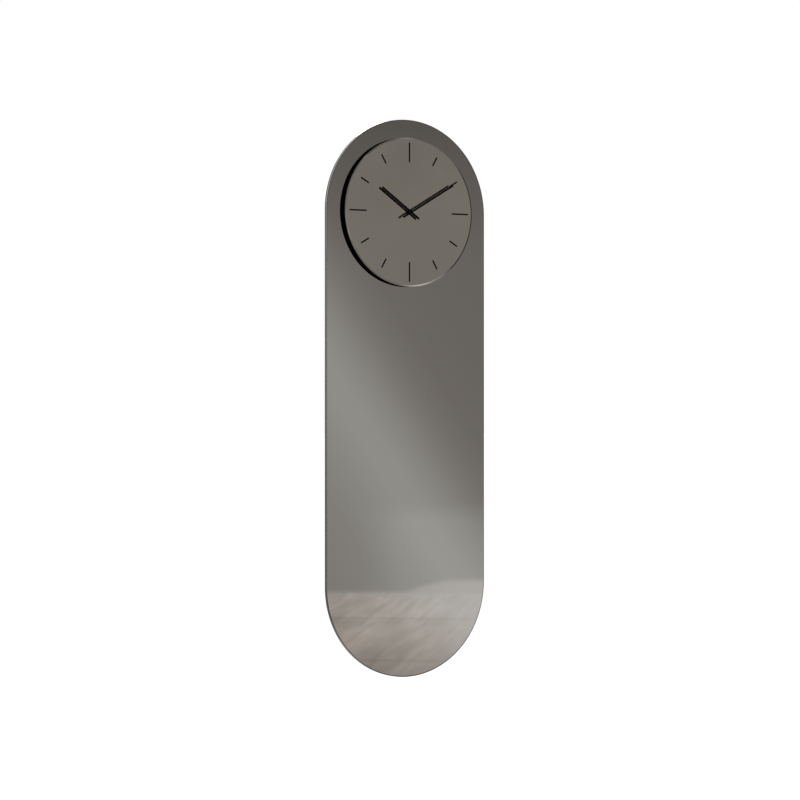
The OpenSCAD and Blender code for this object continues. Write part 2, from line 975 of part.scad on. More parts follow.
// A low dome of resin over the chip
module driver_chip() {
    dome_r = (chip_r * chip_r + chip_h * chip_h) / 2 / chip_h;
    color("#151515")
        intersection() {
            translate([chip_x, circuit_front + dome_r - chip_h, circuit_mid]) sphere(dome_r);
            block(
                [chip_x - chip_r, chip_x + chip_r],
                [circuit_front - chip_h - past, circuit_front],
                [circuit_mid - chip_r, circuit_mid + chip_r]
            );
        }
}

// A spring leaf on the case's side wall, bowed towards the battery's end, with a foot that
// reaches under the circuit board. `side` is 1 at the right and -1 at the left
module battery_contact(side) {
    bow_x = battery_l / 2 + contact_gap;
    outer = [
        [case_in, contact_low],
        [case_in, battery_z - contact_bow_h],
        [bow_x + contact_t, battery_z - bow_flat],
        [bow_x + contact_t, battery_z + bow_flat],
        [case_in, battery_z + contact_bow_h],
        [case_in, contact_top],
        [contact_x, contact_top],
        [contact_x, battery_z + contact_bow_h],
        [bow_x, battery_z + bow_flat],
        [bow_x, battery_z - bow_flat],
        [contact_x, battery_z - contact_bow_h],
        [contact_x, contact_low]
    ];
    foot = [contact_x - contact_foot, case_in];
    color("#cfcdc4") {
        layer(circuit_front - contact_w, contact_w)
            polygon([for (corner = outer) [side * corner[0], corner[1]]]);
        block(
            side > 0 ? foot : [-foot[1], -foot[0]],
            [circuit_front - contact_t, circuit_front],
            [contact_top - contact_foot_h, contact_top]
        );
    }
}

module positive_contact() {
    battery_contact(1);
}

module negative_contact() {
    battery_contact(-1);
}

module hour_wheel() {
    color("#e6e3da") {
        layer(hour_wheel_front, motion_wheel_t)
            difference() {
                wheel_outline(hour_wheel_teeth, hour_tooth, minute_direction + half_turn / hour_wheel_teeth);
                circle(hour_pipe_bore);
            }
        ring(hour_hand_front, hour_wheel_front - hour_hand_front, hour_pipe_r, hour_pipe_bore);
    }
}

module cannon_pinion() {
    cannon_rear = cannon_front + motion_wheel_t;
    pipe_front = minute_hand_front - pipe_end;
    clutch_front = cannon_rear - centre_pipe_l;
    neck_front = cannon_front - layer_gap;
    color("#c2a35a")
        difference() {
            union() {
                layer(cannon_front, motion_wheel_t)
                    pinion_outline(motion_pinion_teeth, minute_tooth, minute_direction);
                disc(neck_front, layer_gap, cannon_neck_r);
                disc(pipe_front, neck_front - pipe_front, minute_pipe_r);
            }
            disc(clutch_front, cannon_rear - clutch_front + past, cannon_bore);
            disc(pipe_front - past, cannon_rear - pipe_front + past, centre_pipe_bore);
        }
}

module minute_wheel() {
    color("#e6e3da")
        at(minute_place) {
            layer(cannon_front, motion_wheel_t)
                wheel_outline(minute_wheel_teeth, minute_tooth,
                    minute_direction + half_turn + half_turn / minute_wheel_teeth);
            layer(hour_wheel_front, cannon_front - hour_wheel_front)
                pinion_outline(motion_pinion_teeth, hour_tooth, minute_direction + half_turn);
            disc(case_floor - pivot_depth + pivot_play, pivot_depth + layer_gap, pivot_r);
            disc(cannon_front, knob_front + knob_bore_l - pivot_play - cannon_front, minute_arbor_r);
        }
}

module setting_knob() {
    color("#3a3b3c")
        at(minute_place)
            difference() {
                disc(knob_front, knob_t, knob_r);
                disc(knob_front - past, knob_bore_l + past, minute_arbor_r + press_play);
                for (groove = [0 : knob_grooves - 1])
                    at(ring_point(knob_r, groove * 360 / knob_grooves))
                        disc(knob_front - past, knob_t + 2 * past, knob_groove_r);
            }
}

module centre_wheel() {
    pipe_front = cannon_front + motion_wheel_t - centre_pipe_l + pivot_end_gap;
    color("#c2a35a")
        difference() {
            union() {
                layer(centre_wheel_front, wheel_t)
                    wheel_outline(centre_wheel_teeth, train_tooth,
                        third_direction + half_turn / centre_wheel_teeth);
                disc(pipe_front, centre_wheel_front - pipe_front, centre_pipe_r);
            }
            disc(pipe_front - past, centre_wheel_front - pipe_front + wheel_t + 2 * past, centre_pipe_bore);
        }
}

// An arbor between the middle plate and the cover, with a thinner pivot at each end
module train_arbor() {
    disc(centre_wheel_front, cover_in - boss_l - pivot_end_gap - centre_wheel_front, arbor_r);
    disc(gear_plate_front + pivot_end_gap, cover_in - gear_plate_front - pivot_end_gap, pivot_r);
}

module third_wheel() {
    color("#e6e3da")
        at(third_place) {
            layer(third_wheel_front, wheel_t)
                wheel_outline(slow_wheel_teeth, third_tooth,
                    third_direction + half_turn + half_turn / slow_wheel_teeth);
            layer(centre_wheel_front, wheel_t + layer_gap)
                pinion_outline(train_pinion_teeth, train_tooth, third_direction + half_turn);
            train_arbor();
        }
}

module fourth_wheel() {
    arbor_front = minute_hand_front - pipe_end / 2;
    color("#e6e3da") {
        layer(fourth_wheel_front, wheel_t)
            wheel_outline(slow_wheel_teeth, fourth_tooth, fifth_direction + half_turn / slow_wheel_teeth);
        layer(third_wheel_front, wheel_t + layer_gap)
            pinion_outline(train_pinion_teeth, third_tooth, third_direction);
        disc(arbor_front, cover_in - boss_l - pivot_end_gap - arbor_front, seconds_arbor_r);
        disc(fourth_wheel_front, cover_in - fourth_wheel_front, pivot_r);
    }
}

module fifth_wheel() {
    color("#e6e3da")
        at(fifth_place) {
            layer(fifth_wheel_front, wheel_t)
                wheel_outline(fifth_wheel_teeth, train_tooth,
                    fifth_direction + half_turn / fifth_wheel_teeth);
            layer(fourth_wheel_front, wheel_t + layer_gap)
                pinion_outline(fifth_pinion_teeth, fourth_tooth, fifth_direction + half_turn);
            train_arbor();
        }
}

module rotor() {
    color("#e6e3da")
        at(rotor_place) {
            layer(fifth_wheel_front, wheel_t)
                pinion_outline(train_pinion_teeth, train_tooth, fifth_direction + half_turn);
            train_arbor();
        }
}

module rotor_magnet() {
    color("#4a4a4d")
        at(rotor_place) ring(magnet_front, magnet_t, magnet_r, arbor_r + press_play);
}

// Turns children that are drawn along +Z to lie along the battery, from its flat end
module along_battery() {
    translate([-battery_l / 2, battery_y, battery_z]) rotate([0, 90, 0]) children();
}

module battery_can() {
    can_l = battery_l - button_l;
    radius = battery_d / 2;
    color("#8e9092")
        along_battery()
            rotate_extrude()
                polygon([
                    [0, 0],
                    [radius - can_edge, 0],
                    [radius, can_edge],
                    [radius, can_l - can_edge],
                    [radius - can_edge, can_l],
                    [0, can_l]
                ]);
}

module battery_button() {
    color("#c8c9ca")
        along_battery()
            translate([0, 0, battery_l - button_l])
                rotate_extrude()
                    polygon([
                        [0, 0],
                        [button_r, 0],
                        [button_r, button_l - button_edge],
                        [button_r - button_edge, button_l],
                        [0, button_l]
                    ]);
}

mirror_panel();
mirror_tapes();
back_board();
hanger_plates();
hanger_screws();
bumpers();
drum_tape();
dial_drum();
dial_tape();
dial_glass();
quarter_markers();
hour_markers();
movement_case();
movement_cover();
centre_bushing();
rubber_washer();
fixing_nut();
gear_plate();
stator();
coil_core();
coil_bobbin();
coil_winding();
circuit_board();
quartz_crystal();
driver_chip();
positive_contact();
negative_contact();
hour_hand();
hour_wheel();
minute_hand();
minute_cap();
cannon_pinion();
minute_wheel();
setting_knob();
centre_wheel();
third_wheel();
fourth_wheel();
fifth_wheel();
rotor();
rotor_magnet();
battery_can();
battery_button();
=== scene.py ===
import json
import math

import bmesh
import bpy
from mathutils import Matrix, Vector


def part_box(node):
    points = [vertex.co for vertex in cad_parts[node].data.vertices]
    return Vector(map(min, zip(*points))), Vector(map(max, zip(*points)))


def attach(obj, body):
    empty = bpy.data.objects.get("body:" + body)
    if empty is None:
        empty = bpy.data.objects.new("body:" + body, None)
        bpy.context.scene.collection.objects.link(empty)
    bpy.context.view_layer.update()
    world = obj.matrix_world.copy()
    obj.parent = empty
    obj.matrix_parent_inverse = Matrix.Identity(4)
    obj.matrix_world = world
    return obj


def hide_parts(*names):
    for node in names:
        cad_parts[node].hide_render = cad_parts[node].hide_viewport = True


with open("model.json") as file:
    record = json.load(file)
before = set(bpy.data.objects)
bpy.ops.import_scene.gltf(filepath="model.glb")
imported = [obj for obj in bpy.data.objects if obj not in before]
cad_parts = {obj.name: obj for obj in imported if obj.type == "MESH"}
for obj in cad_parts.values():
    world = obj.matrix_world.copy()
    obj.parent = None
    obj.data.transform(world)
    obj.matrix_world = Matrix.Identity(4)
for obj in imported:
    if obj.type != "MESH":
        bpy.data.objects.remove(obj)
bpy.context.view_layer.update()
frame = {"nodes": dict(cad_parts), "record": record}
nodes = frame["nodes"]

# Everything is in metres, in the model's own frame: +Z up, +X right, the front looks along -Y.
MM = 0.001
FULL_TURN = 2 * math.pi
WHITE = (1.0, 1.0, 1.0)

# The camera stands in front and to the left, level with the panel's middle.
CAMERA_PLACE = (-3.0932, -5.0312, -0.408)
CAMERA_TURN_DEG = -31.68
CAMERA_SHIFT = (-0.0082, 0.0025)
CAMERA_NEAR = 0.1
CAMERA_FAR = 300.0
FRAME_PX = 800
FOCAL_PX = 2736
SENSOR_MM = 36.0

# The mirror panel and its edges.
panel_low, panel_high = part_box("mirror_panel")
PANEL_R = (panel_high.x - panel_low.x) / 2
PANEL_TOP_Z = panel_high.z - PANEL_R
PANEL_BOTTOM_Z = panel_low.z + PANEL_R
PANEL_HOLE_R = 70 * MM
ARRIS = 1.0 * MM
REAR_ARRIS = 0.4 * MM
# the width of a near-black band inside the arris, painted shade along the rim
DARK_RIM_WIDTH = 1.2 * MM
ARC_STEPS = 128
SIDE_STEPS = 24

# The dial glass with its bevelled rim, and the way in which its tint grows lighter: painted shade that
# darkens the face towards the lower left.
dial_low, dial_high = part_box("dial_glass")
DIAL_R = (dial_high.x - dial_low.x) / 2
DIAL_HOLE_R = 5.0 * MM
DIAL_BEVEL_W = 3.0 * MM
DIAL_BEVEL_T = 1.0 * MM
DIAL_REAR_ARRIS = 0.3 * MM
PAINTED_SHADE_WAY = (0.5, 0.0, 0.87)

# The pipes and the bushing turn black in front of this place, over a short stretch.
BLACK_FRONT_Y = dial_high.y + MM
BLACK_STRETCH = 0.2 * MM

# The steps round a turned piece, and the tiny ring that closes it on its axis.
LATHE_STEPS = 256
CELL_STEPS = 96
CAP_STEPS = 64
SMALL_STEPS = 48
AXIS_R = 0.02 * MM

# The cap on the hands: the share of its height that is domed, and the steps up the dome.
CAP_DOME = 0.5
DOME_STEPS = 8

# The coil's wire, and the inside of its winding.
WIRE_D = 0.3 * MM
WIRE_STEPS = 4
COIL_INNER_R = 2.36 * MM

# The cell: its sleeve turns in over both ends, and leaves the steel plates inside it bare.
SLEEVE_IN = 1.6 * MM
SLEEVE_FOLD = 0.25 * MM
SLEEVE_EDGE = 0.5 * MM
SLEEVE_BAND_X = 12.5 * MM
PLATE_IN = 2.4 * MM
PLATE_DEPTH = 0.1 * MM
PLATE_SLOPE = 0.3 * MM
BUTTON_EDGE = 0.35 * MM
BUTTON_EDGE_STEPS = 4

# How much the edges of the hands and the bars are rounded.
SOFT_EDGE = 0.08 * MM
SOFT_ANGLE_DEG = 50

# The floor under the clock, how bright it is by itself, and how bright the world is to what
# doesn't mirror it; 1 is white.
FLOOR_Z = -1.6
FLOOR_SIZE = 160.0
FLOOR_GLOW = 0.62
WORLD_LEVEL = 0.72

# The lamps point at the panel's middle; each has a name, a place, a size and a power.
LAMP_AIM = (0.0, 0.0, -0.4)
LAMPS = (
    ("front_lamp", (2.05, -2.8, 4.6), 2.4, 182),
    ("rear_lamp", (2.5, 4.5, 2.5), 2.5, 160),
)

# The room that the mirrors look into: ahead of them as the camera sees it, and to the right.
LOOK_TURN = math.radians(-CAMERA_TURN_DEG)
AHEAD = (math.sin(LOOK_TURN), -math.cos(LOOK_TURN), 0.0)
ASIDE = (math.cos(LOOK_TURN), math.sin(LOOK_TURN), 0.0)

# Below, a level that changes from place to place is given as two levels, and the two places in
# metres between which the first turns into the second.

# Boards on the mirrored floor, a little to the right of straight ahead, and where they end.
BOARDS_TURN = math.radians(5.6)
BOARD_W = 0.14
BOARD_L = 2.46
BOARD_END_AHEAD = 9.16
BOARD_DRAWN = 0.045
GRAIN_SCALE = 26.0
STAIN_SCALE = 5.0
SEAM_SHARE = 0.1
BOARD_END = (0.82, 1.0, 0.02, 0.09)
PAST_BOARD_END = (0.94, 1.05, -0.05, 0.05)

# The glare that washes the boards out, and how the floor darkens to the left, near by, nearer still,
# and far to either side: painted light and painted shade on a glowing floor; its colour turns from
# brown to pale along a slanted line.
BOARDS_SHOW = (1.0, 0.4, -0.2, 0.25)
FLOOR_LEFT = (0.68, 0.98, -0.45, 0.27)
FLOOR_NEAR = (0.66, 1.0, 5.9, 8.2)
FLOOR_NEARER = (0.6, 1.0, 3.0, 5.0)
FLOOR_FAR_RIGHT = (1.0, 0.3, 1.5, 2.2)
FLOOR_FAR_LEFT = (0.7, 1.0, -2.4, -1.2)
WASH_SLANT = 0.09
WASH_TURN = (0.0, 1.0, 0.28, 1.18)
BROWN_WASH = (1.03, 0.92, 0.83)
PALE_WASH = (1.01, 0.995, 0.975)

# Under the clock and behind it the floor is white, but for a dark part to the right, which is painted
# shade.
FLOOR_BEHIND = (0.0, 1.0, -0.6, 0.0)
SHADE_LEFT = (0.0, 1.0, 0.1, 0.4)
SHADE_RIGHT = (1.0, 0.0, 3.0, 5.0)
SHADE_FRONT = (0.0, 1.0, -0.3, 0.0)
SHADE_REAR = (1.0, 0.0, 2.0, 4.0)
SHADE_LEVEL = 0.08

# The far wall and its pool of light, which has a level at each place along a slanted height.
# The wall's colour turns from warm to cool as its own level rises between the last two numbers
# of WALL_TURN.
WALL_AHEAD = 11.18
WALL_LEFT = -80.0
WALL_RIGHT = 60.0
WALL_TOP = 14.0
WALL_SLANT = 1.6
WALL_POOL = (
    (-2.3, 0.46), (-1.8, 0.5), (-1.45, 0.57), (-1.1, 0.645), (-0.9, 0.635), (-0.65, 0.55),
    (-0.4, 0.435), (-0.2, 0.365), (0.05, 0.322), (0.5, 0.305), (1.7, 0.29),
)
WALL_UPPER = (1.0, 0.68, 0.45, 1.35)
WALL_FOOT = (0.085, 0.0, -1.15, -1.03)
WALL_FOOT_REACH = (0.0, 1.0, -0.3, -0.05)
WALL_FAR_LEFT = (0.75, 1.0, -6.0, -1.5)
WALL_TURN = (0.0, 1.0, 0.33, 0.62)
WARM_WALL = (1.06, 1.0, 0.94)
COOL_WALL = (1.0, 1.01, 0.985)

# Where the floor meets the wall, a little higher to the right.
STEP_HEIGHT = 0.076
STEP_REACH = (-0.03, 0.22)
STEP_SOFT = (-0.01, 0.02)
# the strip of floor there glows with painted light, darker to the left
STEP_LEVEL = (0.68, 0.94, -0.45, 0.3)
STEP_TINT = (1.01, 0.985, 0.96)

# What the dial's bevel looks at: light on the floor and high on the wall, and a dark screen.
FLOOR_SPOT = (2.05, -1.88, FLOOR_Z)
FLOOR_SPOT_R = 0.95
FLOOR_SPOT_LEVEL = 0.62
WALL_SPOT = (1.2, 0.0, 8.4)
WALL_SPOT_R = 2.0
WALL_SPOT_LEVEL = 0.18
SCREEN_X = 4.5
SCREEN_NEAR = -1.0
SCREEN_FAR = -3.3
SCREEN_TOP = 2.1
SCREEN_EDGE = 0.6
SCREEN_TINT = (1, 0.97, 0.92, 1)


class Surface:
    """A material: one Principled shader, and short ways to make the nodes that feed it."""

    def __init__(self, name, colour, roughness, metallic=0.0, **sockets):
        self.material = bpy.data.materials.new(name)
        self.material.use_nodes = True
        self.tree = self.material.node_tree
        self.shader = self.tree.nodes["Principled BSDF"]
        self.where = self.add("ShaderNodeTexCoord").outputs["Object"]
        self.set("Base Color", (*colour, 1.0))
        self.set("Roughness", roughness)
        self.set("Metallic", metallic)
        for socket, value in sockets.items():
            self.set(socket.replace("_", " "), value)

    def give(self, socket, value):
        """Joins a node's socket to another, or sets it to a number or colour."""
        if isinstance(value, bpy.types.NodeSocket):
            self.tree.links.new(value, socket)
        else:
            socket.default_value = value

    def set(self, socket, value):
        self.give(self.shader.inputs[socket], value)

    def add(self, kind, inputs=None, **settings):
        node = self.tree.nodes.new(kind)
        for key, value in settings.items():
            setattr(node, key, value)
        for key, value in (inputs or {}).items():
            self.give(node.inputs[key], value)
        return node

    def math(self, operation, a, b=0.0):
        return self.add("ShaderNodeMath", {0: a, 1: b}, operation=operation).outputs[0]

    def plus(self, a, b):
        return self.math("ADD", a, b)

    def minus(self, a, b):
        return self.math("SUBTRACT", a, b)

    def times(self, product, *factors):
        for factor in factors:
            product = self.math("MULTIPLY", product, factor)
        return product

    def split(self):
        """The X, Y and Z of a place on the piece."""
        return self.add("ShaderNodeSeparateXYZ", {0: self.where}).outputs

    def along(self, way):
        """How far a place on the piece lies along a direction."""
        made = self.add("ShaderNodeVectorMath", {0: self.where, 1: way}, operation="DOT_PRODUCT")
        return made.outputs["Value"]

    def facing(self):
        """The X, Y and Z of the way that the surface faces."""
        normal = self.add("ShaderNodeNewGeometry").outputs["Normal"]
        return self.add("ShaderNodeSeparateXYZ", {0: normal}).outputs

    def stretched(self, factors):
        made = self.add("ShaderNodeVectorMath", {0: self.where, 1: factors}, operation="MULTIPLY")
        return made.outputs[0]

    def noise(self, size, detail=3.0, rough=0.5, along=(1, 1, 1)):
        """Noise with features of a size in metres, drawn out along an axis whose factor is below 1."""
        where = self.where if along == (1, 1, 1) else self.stretched(along)
        inputs = {"Vector": where, "Scale": 1 / size, "Detail": detail, "Roughness": rough}
        return self.add("ShaderNodeTexNoise", inputs).outputs[0]

    def turning_marks(self, size):
        """Fine marks round a turned piece, by the distance from the dial's axis."""
        x, _, z = self.split()
        radius = self.math("SQRT", self.plus(self.times(x, x), self.times(z, z)))
        where = self.add("ShaderNodeCombineXYZ", {0: radius}).outputs[0]
        inputs = {"Vector": where, "Scale": 1 / size, "Detail": 2.0}
        return self.add("ShaderNodeTexNoise", inputs).outputs[0]

    def cells(self, size, feature="F1"):
        inputs = {"Vector": self.where, "Scale": 1 / size}
        return self.add("ShaderNodeTexVoronoi", inputs, feature=feature).outputs[0]

    def spread(self, value, low, high, first=0.0, last=1.0):
        """A value between first and last becomes one between low and high."""
        inputs = {0: value, 1: first, 2: last, 3: low, 4: high}
        return self.add("ShaderNodeMapRange", inputs, clamp=True).outputs[0]

    def spot(self, place, radius):
        """1 at a place, falling softly to 0 at a radius from it."""
        away = self.add("ShaderNodeVectorMath", {0: self.where, 1: place}, operation="DISTANCE")
        inputs = {0: away.outputs["Value"], 1: 0.0, 2: radius, 3: 1.0, 4: 0.0}
        return self.add("ShaderNodeMapRange", inputs, interpolation_type="SMOOTHSTEP").outputs[0]

    def ramp(self, value, stops):
        """A grey ramp, its stops given as (place, grey)."""
        made = self.add("ShaderNodeValToRGB", {0: value})
        elements = made.color_ramp.elements
        while len(elements) < len(stops):
            elements.new(1.0)
        for element, (place, grey) in zip(elements, stops):
            element.position = place
            element.color = (grey, grey, grey, 1.0)
        return made.outputs[0]

    def mix(self, factor, a, b):
        """One colour turning into another, both given as colours or as sockets."""
        whole = [v if isinstance(v, bpy.types.NodeSocket) else (*v, 1.0) for v in (a, b)]
        inputs = {0: factor, 6: whole[0], 7: whole[1]}
        return self.add("ShaderNodeMix", inputs, data_type="RGBA").outputs[2]

    def blackened(self, colour):
        """A colour that turns to black on what shows between the dial and the hands."""
        black_y = BLACK_FRONT_Y - BLACK_STRETCH
        behind = self.spread(self.split()[1], 0.0, 1.0, black_y, BLACK_FRONT_Y)
        return self.mix(behind, (0.004, 0.004, 0.004), colour)

    def bump(self, height, depth):
        """Raises the surface by up to depth metres where the height is 1."""
        made = self.add("ShaderNodeBump", {"Height": height, "Distance": depth, "Strength": 1.0})
        self.set("Normal", made.outputs[0])

    def glow(self, colour, strength):
        """A shader that shines by itself."""
        return self.add("ShaderNodeEmission", {"Color": colour, "Strength": strength}).outputs[0]

    def blend(self, factor, a, b):
        """One shader turning into another."""
        return self.add("ShaderNodeMixShader", {0: factor, 1: a, 2: b}).outputs[0]

    def end_in(self, shader):
        """Takes another shader in place of the Principled one."""
        self.tree.links.new(shader, self.tree.nodes["Material Output"].inputs[0])


def smoked_mirror(name, colour, roughness, painted_shade_share=1.0):
    """Silvered smoked glass with the faint film of any mirror.

    A share below 1, given after the roughness, darkens its tint towards the lower left as painted
    shade.
    """
    made = Surface(name, colour, roughness, 1.0)
    film = made.noise(90 * MM, 4.0, 0.6)
    # painted shade: the tint darkens towards the lower left of the piece
    upwards = made.spread(made.along(PAINTED_SHADE_WAY), 0.0, 1.0, -DIAL_R, DIAL_R)
    shaded_tint = tuple(c * painted_shade_share for c in colour)
    tint = made.mix(upwards, shaded_tint, colour)
    made.set("Base Color", made.mix(film, tint, made.mix(0.03, tint, (0.0, 0.0, 0.0))))
    made.set("Roughness", made.spread(film, roughness * 0.8, roughness * 1.2, 0.3, 0.7))
    return made.material


def glass_edge():
    """The ground and polished edge of the glass, dark as the silver behind it."""
    made = Surface("glass_edge", (0.04, 0.043, 0.041), 0.16, Specular_IOR_Level=0.5)
    lines = made.noise(0.5 * MM, 2.0, 0.5, (0.02, 1, 0.02))
    made.set("Base Color", made.mix(lines, (0.025, 0.027, 0.026), (0.055, 0.06, 0.057)))
    made.set("Roughness", made.spread(lines, 0.12, 0.3))
    made.bump(lines, 0.01 * MM)
    return made.material


def glass_bevel():
    """The dial's polished bevel, smoked and silvered like its face."""
    made = Surface("glass_bevel", (0.5, 0.49, 0.46), 0.05, 1.0)
    film = made.noise(7 * MM, 4.0, 0.6)
    made.set("Base Color", made.mix(film, (0.48, 0.47, 0.44), (0.52, 0.51, 0.48)))
    made.set("Roughness", made.spread(film, 0.03, 0.07))
    return made.material


def glass_arris():
    """The narrow polished facet between the front and the edge."""
    made = Surface("glass_arris", (0.39, 0.38, 0.37), 0.25, 1.0)
    made.set("Roughness", made.spread(made.noise(3 * MM, 3.0), 0.18, 0.32))
    return made.material


def painted_dark_rim():
    """A near-black band between the arris and the silver: painted shade for the dark line along the
    panel's edge.
    """
    made = Surface("painted_dark_rim", (0.012, 0.013, 0.0125), 0.06)
    made.set("Roughness", made.spread(made.noise(3 * MM), 0.04, 0.1))
    return made.material


def backing_paint():
    """The grey-green paint over the silver at the back of the mirror."""
    made = Surface("backing_paint", (0.1, 0.11, 0.105), 0.55)
    streaks = made.noise(6 * MM, 4.0, 0.6, (1, 1, 0.08))
    made.set("Base Color", made.mix(streaks, (0.085, 0.094, 0.09), (0.125, 0.136, 0.13)))
    made.set("Roughness", made.spread(made.noise(25 * MM), 0.45, 0.65))
    made.bump(made.noise(0.8 * MM, 3.0), 0.03 * MM)
    return made.material


def foam_tape():
    """Closed-cell foam, cut along its sides."""
    made = Surface("foam_tape", (0.1, 0.1, 0.105), 0.9)
    pores = made.cells(0.35 * MM)
    made.set("Base Color", made.mix(pores, (0.05, 0.05, 0.053), (0.14, 0.14, 0.145)))
    made.bump(pores, 0.12 * MM)
    return made.material


def black_board():
    """Black fibreboard: pressed faces with a faint mottle, and open fibre on the cut edges."""
    made = Surface("black_board", (0.03, 0.029, 0.028), 0.62)
    mottle = made.noise(14 * MM, 5.0, 0.65)
    fibre = made.noise(1.6 * MM, 5.0, 0.75)
    scuffs = made.noise(60 * MM, 6.0, 0.7, (1, 1, 0.25))
    face = made.mix(mottle, (0.018, 0.0175, 0.017), (0.042, 0.040, 0.038))
    worn = made.mix(made.spread(scuffs, 0.0, 0.55, 0.55, 0.8), face, (0.075, 0.071, 0.066))
    edge = made.mix(fibre, (0.035, 0.028, 0.022), (0.11, 0.088, 0.068))
    sideways = made.math("ABSOLUTE", made.facing()[1])
    made.set("Base Color", made.mix(made.spread(sideways, 0.0, 1.0, 0.4, 0.8), edge, worn))
    made.set("Roughness", made.spread(mottle, 0.5, 0.72, 0.3, 0.7))
    made.bump(fibre, 0.06 * MM)
    return made.material


def zinc_steel():
    """Pressed steel with bright zinc: a soft grain along the strip and a mottle of crystals."""
    made = Surface("zinc_steel", (0.62, 0.62, 0.6), 0.35, 1.0)
    crystals = made.cells(4 * MM)
    grain = made.noise(0.5 * MM, 3.0, 0.6, (1, 1, 0.06))
    made.set("Base Color", made.mix(crystals, (0.66, 0.67, 0.67), (0.5, 0.51, 0.52)))
    made.set("Roughness", made.spread(grain, 0.24, 0.46))
    made.bump(grain, 0.01 * MM)
    return made.material


def black_rubber():
    """Matt rubber with a faint bloom."""
    made = Surface("black_rubber", (0.022, 0.022, 0.022), 0.75)
    bloom = made.noise(2.5 * MM, 4.0)
    made.set("Base Color", made.mix(bloom, (0.016, 0.016, 0.016), (0.04, 0.04, 0.041)))
    made.set("Roughness", made.spread(bloom, 0.65, 0.88))
    made.bump(made.noise(0.4 * MM, 3.0), 0.03 * MM)
    return made.material


def drum_black():
    """Deep satin black, on the drum and on the dial's rim and back."""
    made = Surface("drum_black", (0.004, 0.004, 0.004), 0.5, Specular_IOR_Level=0.2)
    haze = made.noise(8 * MM, 4.0)
    made.set("Base Color", made.mix(haze, (0.003, 0.003, 0.003), (0.007, 0.007, 0.0065)))
    made.set("Roughness", made.spread(haze, 0.42, 0.6))
    made.bump(made.noise(0.6 * MM, 2.0), 0.015 * MM)
    return made.material


def satin_black():
    """Black paint on the aluminium hands and markers, with a slight orange peel."""
    made = Surface("satin_black", (0.002, 0.002, 0.002), 0.45, Specular_IOR_Level=0.05)
    peel = made.noise(0.9 * MM, 2.0)
    made.set("Base Color", made.mix(peel, (0.0012, 0.0012, 0.0012), (0.003, 0.0029, 0.0027)))
    made.set("Roughness", made.spread(made.noise(6 * MM), 0.38, 0.52))
    made.bump(peel, 0.012 * MM)
    return made.material


def case_plastic():
    """Moulded black plastic with a fine spark-eroded texture."""
    made = Surface("case_plastic", (0.028, 0.028, 0.029), 0.5)
    texture = made.noise(0.45 * MM, 4.0, 0.6)
    flow = made.noise(18 * MM, 3.0)
    made.set("Base Color", made.mix(flow, (0.022, 0.022, 0.023), (0.037, 0.037, 0.038)))
    made.set("Roughness", made.spread(texture, 0.42, 0.62, 0.3, 0.7))
    made.bump(texture, 0.03 * MM)
    return made.material


def turned_brass():
    """Brass with turning marks and a little tarnish, blackened at its front end."""
    made = Surface("turned_brass", (0.69, 0.55, 0.29), 0.28, 1.0)
    marks = made.turning_marks(0.12 * MM)
    tarnish = made.noise(3 * MM, 4.0)
    bare = made.mix(tarnish, (0.72, 0.57, 0.3), (0.56, 0.42, 0.2))
    made.set("Base Color", made.blackened(bare))
    made.set("Roughness", made.spread(marks, 0.18, 0.42))
    made.bump(marks, 0.01 * MM)
    return made.material


def white_acetal():
    """Moulded natural acetal, a little warm, with fine flow marks, blackened at its front end."""
    made = Surface("white_acetal", (0.8, 0.78, 0.73), 0.38)
    flow = made.noise(4 * MM, 3.0)
    bare = made.mix(flow, (0.74, 0.72, 0.66), (0.83, 0.81, 0.76))
    made.set("Base Color", made.blackened(bare))
    made.set("Roughness", made.spread(flow, 0.3, 0.5))
    made.bump(made.turning_marks(0.2 * MM), 0.004 * MM)
    return made.material


def iron_core():
    """Annealed sheet, its layers showing along the edge."""
    made = Surface("iron_core", (0.4, 0.4, 0.4), 0.42, 1.0)
    layers = made.noise(0.35 * MM, 1.0, 0.5, (0.05, 1, 0.05))
    made.set("Base Color", made.mix(layers, (0.3, 0.3, 0.31), (0.47, 0.46, 0.45)))
    made.set("Roughness", made.spread(made.noise(2 * MM), 0.35, 0.55))
    made.bump(layers, 0.02 * MM)
    return made.material


def copper_wire():
    """Enamelled wire; the turns themselves are in the shape."""
    made = Surface("copper_wire", (0.6, 0.24, 0.09), 0.25, 1.0, Coat_Weight=0.6)
    wear = made.noise(1.5 * MM, 3.0, 0.5, (1, 0.3, 0.3))
    made.set("Base Color", made.mix(wear, (0.5, 0.18, 0.06), (0.68, 0.3, 0.13)))
    made.set("Roughness", made.spread(wear, 0.2, 0.35))
    return made.material


def circuit_green():
    """Green solder mask over etched copper."""
    made = Surface("circuit_green", (0.04, 0.16, 0.06), 0.3)
    tracks = made.cells(1.8 * MM, "DISTANCE_TO_EDGE")
    copper = made.spread(tracks, 0.0, 1.0, 0.08, 0.12)
    made.set("Base Color", made.mix(copper, (0.02, 0.09, 0.035), (0.05, 0.2, 0.075)))
    made.set("Roughness", made.spread(made.noise(2 * MM), 0.22, 0.4))
    made.bump(copper, 0.02 * MM)
    return made.material


def chip_resin():
    """A drop of black resin, a little uneven."""
    made = Surface("chip_resin", (0.012, 0.012, 0.012), 0.2)
    made.set("Roughness", made.spread(made.noise(1.2 * MM), 0.12, 0.35))
    made.bump(made.noise(1.5 * MM, 1.0), 0.05 * MM)
    return made.material


def nickel():
    """Nickel-plated strip and wire, with a fine grain."""
    made = Surface("nickel", (0.72, 0.7, 0.66), 0.22, 1.0)
    grain = made.noise(0.4 * MM, 3.0, 0.5, (0.1, 1, 1))
    made.set("Base Color", made.mix(grain, (0.66, 0.64, 0.6), (0.76, 0.74, 0.7)))
    made.set("Roughness", made.spread(grain, 0.15, 0.34))
    return made.material


